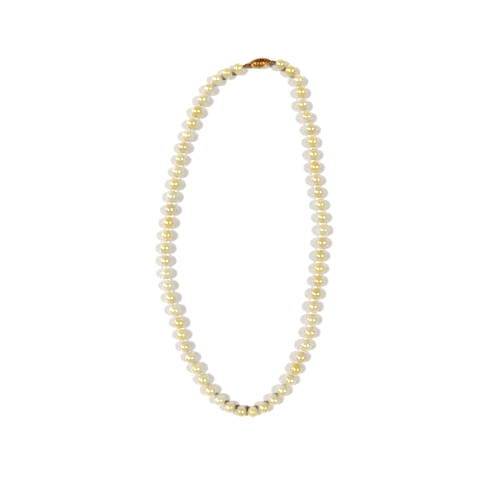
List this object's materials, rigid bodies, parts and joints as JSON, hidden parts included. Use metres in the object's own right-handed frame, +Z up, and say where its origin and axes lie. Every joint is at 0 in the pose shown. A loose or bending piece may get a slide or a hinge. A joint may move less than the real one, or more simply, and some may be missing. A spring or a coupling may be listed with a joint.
{
  "type": "pearl necklace",
  "caption": "Knotted single-strand necklace of near-round cream to golden pearls on silk, closed by a pointed-oval gold filigree fish-hook clasp, lying flat in a long loop.",
  "frame": {"origin": "middle of the loop's bounding box, on the table it lies on", "axes": "+X across the loop, +Y along it towards the clasp, +Z up from the table"},
  "size_m": [0.0931, 0.198, 0.0066],
  "materials": {
    "pearl_cream": "lustrous nacre, cream",
    "pearl_peach": "lustrous nacre, peach",
    "pearl_golden": "lustrous nacre, light gold",
    "pearl_pale": "lustrous nacre, pale cream",
    "clasp_gold": "polished yellow gold, darkened in the recesses",
    "silk": "twisted silk, golden tan"
  },
  "bodies": {
    "nape": {"pearl_left_09": "pearl_peach", "pearls_right_01_02": "pearl_golden", "pearls_right_03_05": "pearl_golden", "pearls_right_06_08": "pearl_cream"},
    "clasp_shell": {"clasp_shell_dome": "clasp_gold", "clasp_shell_base": "clasp_gold", "clasp_catch_bar": "clasp_gold", "silk_loop_ring": "silk"},
    "clasp_hook": {"clasp_hook": "clasp_gold", "clasp_hook_leaf": "clasp_gold", "silk_loop_hook": "silk"},
    "left_08": {"pearl_left_08": "pearl_cream"},
    "left_07": {"pearl_left_07": "pearl_cream"},
    "left_06": {"pearl_left_06": "pearl_golden"},
    "left_05": {"pearl_left_05": "pearl_pale"},
    "left_04": {"pearl_left_04": "pearl_cream"},
    "left_03": {"pearl_left_03": "pearl_golden"},
    "left_02": {"pearl_left_02": "pearl_peach"},
    "left_01": {"pearl_left_01": "pearl_cream"},
    "row_01": {"pearl_left_10": "pearl_golden", "pearl_right_09": "pearl_golden"},
    "row_02": {"pearl_left_11": "pearl_cream", "pearl_right_10": "pearl_pale"},
    "row_03": {"pearl_left_12": "pearl_pale", "pearl_right_11": "pearl_cream"},
    "row_04": {"pearl_left_13": "pearl_golden", "pearl_right_12": "pearl_golden"},
    "row_05": {"pearl_left_14": "pearl_cream", "pearl_right_13": "pearl_peach"},
    "row_06": {"pearl_left_15": "pearl_cream", "pearl_right_14": "pearl_cream"},
    "row_07": {"pearl_left_16": "pearl_peach", "pearl_right_15": "pearl_cream"},
    "row_08": {"pearl_left_17": "pearl_golden", "pearl_right_16": "pearl_golden"},
    "row_09": {"pearl_left_18": "pearl_cream", "pearl_right_17": "pearl_pale"},
    "row_10": {"pearl_left_19": "pearl_pale", "pearl_right_18": "pearl_cream"},
    "row_11": {"pearl_left_20": "pearl_golden", "pearl_right_19": "pearl_golden"},
    "row_12": {"pearl_left_21": "pearl_cream", "pearl_right_20": "pearl_peach"},
    "row_13": {"pearl_left_22": "pearl_cream", "pearl_right_21": "pearl_cream"},
    "row_14": {"pearl_left_23": "pearl_peach", "pearl_right_22": "pearl_cream"},
    "row_15": {"pearl_left_24": "pearl_golden", "pearl_right_23": "pearl_golden"},
    "row_16": {"pearl_left_25": "pearl_cream", "pearl_right_24": "pearl_pale"},
    "row_17": {"pearl_left_26": "pearl_pale", "pearl_right_25": "pearl_cream"},
    "front": {"pearls_left_27_29": "pearl_golden", "pearls_left_30_32": "pearl_peach", "pearls_right_29_31": "pearl_pale", "pearls_right_26_28": "pearl_cream"}
  },
  "joints": [
    {"name": "clasp_roll", "type": "hinge", "parent": "nape", "child": "clasp_shell", "pos_m": [0.0083, 0.0952, 0.00315], "axis": [0.9922, 0.1246, 0], "range_deg": [-60, 60]},
    {"name": "hook_pull", "type": "slide", "parent": "clasp_shell", "child": "clasp_hook", "axis": [-0.9922, -0.1246, 0], "range_m": [0, 0.0095], "deforming": ["clasp_hook_leaf"]},
    {"name": "left_bend_08", "type": "hinge", "parent": "nape", "child": "left_08", "pos_m": [-0.0324, 0.05278, 0.00314], "axis": [0, 0, 1], "range_deg": [0, 24.6]},
    {"name": "left_bend_07", "type": "hinge", "parent": "left_08", "child": "left_07", "pos_m": [-0.03002, 0.05925, 0.00318], "axis": [0, 0, 1], "range_deg": [-2, 0]},
    {"name": "left_bend_06", "type": "hinge", "parent": "left_07", "child": "left_06", "pos_m": [-0.02741, 0.06581, 0.00323], "axis": [0, 0, 1], "range_deg": [-3.3, 0]},
    {"name": "left_bend_05", "type": "hinge", "parent": "left_06", "child": "left_05", "pos_m": [-0.02453, 0.07235, 0.00324], "axis": [0, 0, 1], "range_deg": [-4.2, 0]},
    {"name": "left_bend_04", "type": "hinge", "parent": "left_05", "child": "left_04", "pos_m": [-0.02129, 0.0787, 0.00319], "axis": [0, 0, 1], "range_deg": [-5.5, 0]},
    {"name": "left_bend_03", "type": "hinge", "parent": "left_04", "child": "left_03", "pos_m": [-0.01756, 0.08457, 0.00308], "axis": [0, 0, 1], "range_deg": [-12.3, 0]},
    {"name": "left_bend_02", "type": "hinge", "parent": "left_03", "child": "left_02", "pos_m": [-0.01261, 0.08897, 0.00301], "axis": [0, 0, 1], "range_deg": [-16.1, 0]},
    {"name": "left_bend_01", "type": "hinge", "parent": "left_02", "child": "left_01", "pos_m": [-0.00652, 0.09162, 0.00301], "axis": [0, 0, 1], "range_deg": [-1.8, 0]},
    {"name": "fold_01", "type": "hinge", "parent": "nape", "child": "row_01", "pos_m": [0.00175, 0.04769, 0.00315], "axis": [0.9991, 0.0414, 0.0006], "range_deg": [-13, 13]},
    {"name": "fold_02", "type": "hinge", "parent": "row_01", "child": "row_02", "pos_m": [0.00128, 0.04085, 0.00317], "axis": [0.9993, 0.0365, 0.0007], "range_deg": [-13, 13]},
    {"name": "fold_03", "type": "hinge", "parent": "row_02", "child": "row_03", "pos_m": [0.00089, 0.03395, 0.00319], "axis": [0.9995, 0.0321, 0.0003], "range_deg": [-13, 13]},
    {"name": "fold_04", "type": "hinge", "parent": "row_03", "child": "row_04", "pos_m": [0.00062, 0.02707, 0.0032], "axis": [0.9996, 0.0299, -0.0006], "range_deg": [-13, 13]},
    {"name": "fold_05", "type": "hinge", "parent": "row_04", "child": "row_05", "pos_m": [0.00058, 0.02015, 0.00322], "axis": [0.9995, 0.0315, -0.0014], "range_deg": [-13, 13]},
    {"name": "fold_06", "type": "hinge", "parent": "row_05", "child": "row_06", "pos_m": [0.00067, 0.01311, 0.00323], "axis": [0.9994, 0.0346, -0.0013], "range_deg": [-13, 13]},
    {"name": "fold_07", "type": "hinge", "parent": "row_06", "child": "row_07", "pos_m": [0.00064, 0.00609, 0.00323], "axis": [0.9994, 0.0358, -0.0005], "range_deg": [-13, 13]},
    {"name": "fold_08", "type": "hinge", "parent": "row_07", "child": "row_08", "pos_m": [0.00009, -0.00093, 0.00323], "axis": [0.9994, 0.0345, 0.0005], "range_deg": [-13, 13]},
    {"name": "fold_09", "type": "hinge", "parent": "row_08", "child": "row_09", "pos_m": [-0.00064, -0.00799, 0.00321], "axis": [0.9995, 0.0331, 0.0008], "range_deg": [-13, 13]},
    {"name": "fold_10", "type": "hinge", "parent": "row_09", "child": "row_10", "pos_m": [-0.00087, -0.01499, 0.00317], "axis": [0.9995, 0.0328, 0.0007], "range_deg": [-13, 13]},
    {"name": "fold_11", "type": "hinge", "parent": "row_10", "child": "row_11", "pos_m": [-0.00068, -0.02185, 0.00315], "axis": [0.9995, 0.0319, 0.0011], "range_deg": [-13, 13]},
    {"name": "fold_12", "type": "hinge", "parent": "row_11", "child": "row_12", "pos_m": [-0.00056, -0.02866, 0.0032], "axis": [0.9996, 0.0287, 0.0012], "range_deg": [-13, 13]},
    {"name": "fold_13", "type": "hinge", "parent": "row_12", "child": "row_13", "pos_m": [-0.00036, -0.03558, 0.00327], "axis": [0.9996, 0.0265, 0.0005], "range_deg": [-13, 13]},
    {"name": "fold_14", "type": "hinge", "parent": "row_13", "child": "row_14", "pos_m": [0.00034, -0.0426, 0.00328], "axis": [0.9997, 0.0243, 0.0005], "range_deg": [-13, 13]},
    {"name": "fold_15", "type": "hinge", "parent": "row_14", "child": "row_15", "pos_m": [0.00092, -0.04959, 0.00322], "axis": [0.9998, 0.0198, 0.002], "range_deg": [-13, 13]},
    {"name": "fold_16", "type": "hinge", "parent": "row_15", "child": "row_16", "pos_m": [0.00075, -0.0564, 0.00319], "axis": [0.9999, 0.015, 0.0032], "range_deg": [-13, 13]},
    {"name": "fold_17", "type": "hinge", "parent": "row_16", "child": "row_17", "pos_m": [0.00057, -0.06291, 0.00318], "axis": [1, 0.0091, 0.0028], "range_deg": [-13, 13]},
    {"name": "fold_18", "type": "hinge", "parent": "row_17", "child": "front", "pos_m": [0.00094, -0.06915, 0.00318], "axis": [1, -0.0014, 0.0007], "range_deg": [-13, 13]}
  ],
  "couplings": [
    {"joint": "left_bend_08", "follows": "hook_pull", "rad_per_m": 44.84},
    {"joint": "left_bend_07", "follows": "hook_pull", "rad_per_m": -3.43},
    {"joint": "left_bend_06", "follows": "hook_pull", "rad_per_m": -5.77},
    {"joint": "left_bend_05", "follows": "hook_pull", "rad_per_m": -7.36},
    {"joint": "left_bend_04", "follows": "hook_pull", "rad_per_m": -9.8},
    {"joint": "left_bend_03", "follows": "hook_pull", "rad_per_m": -22.27},
    {"joint": "left_bend_02", "follows": "hook_pull", "rad_per_m": -29.28},
    {"joint": "left_bend_01", "follows": "hook_pull", "rad_per_m": -3.05}
  ]
}
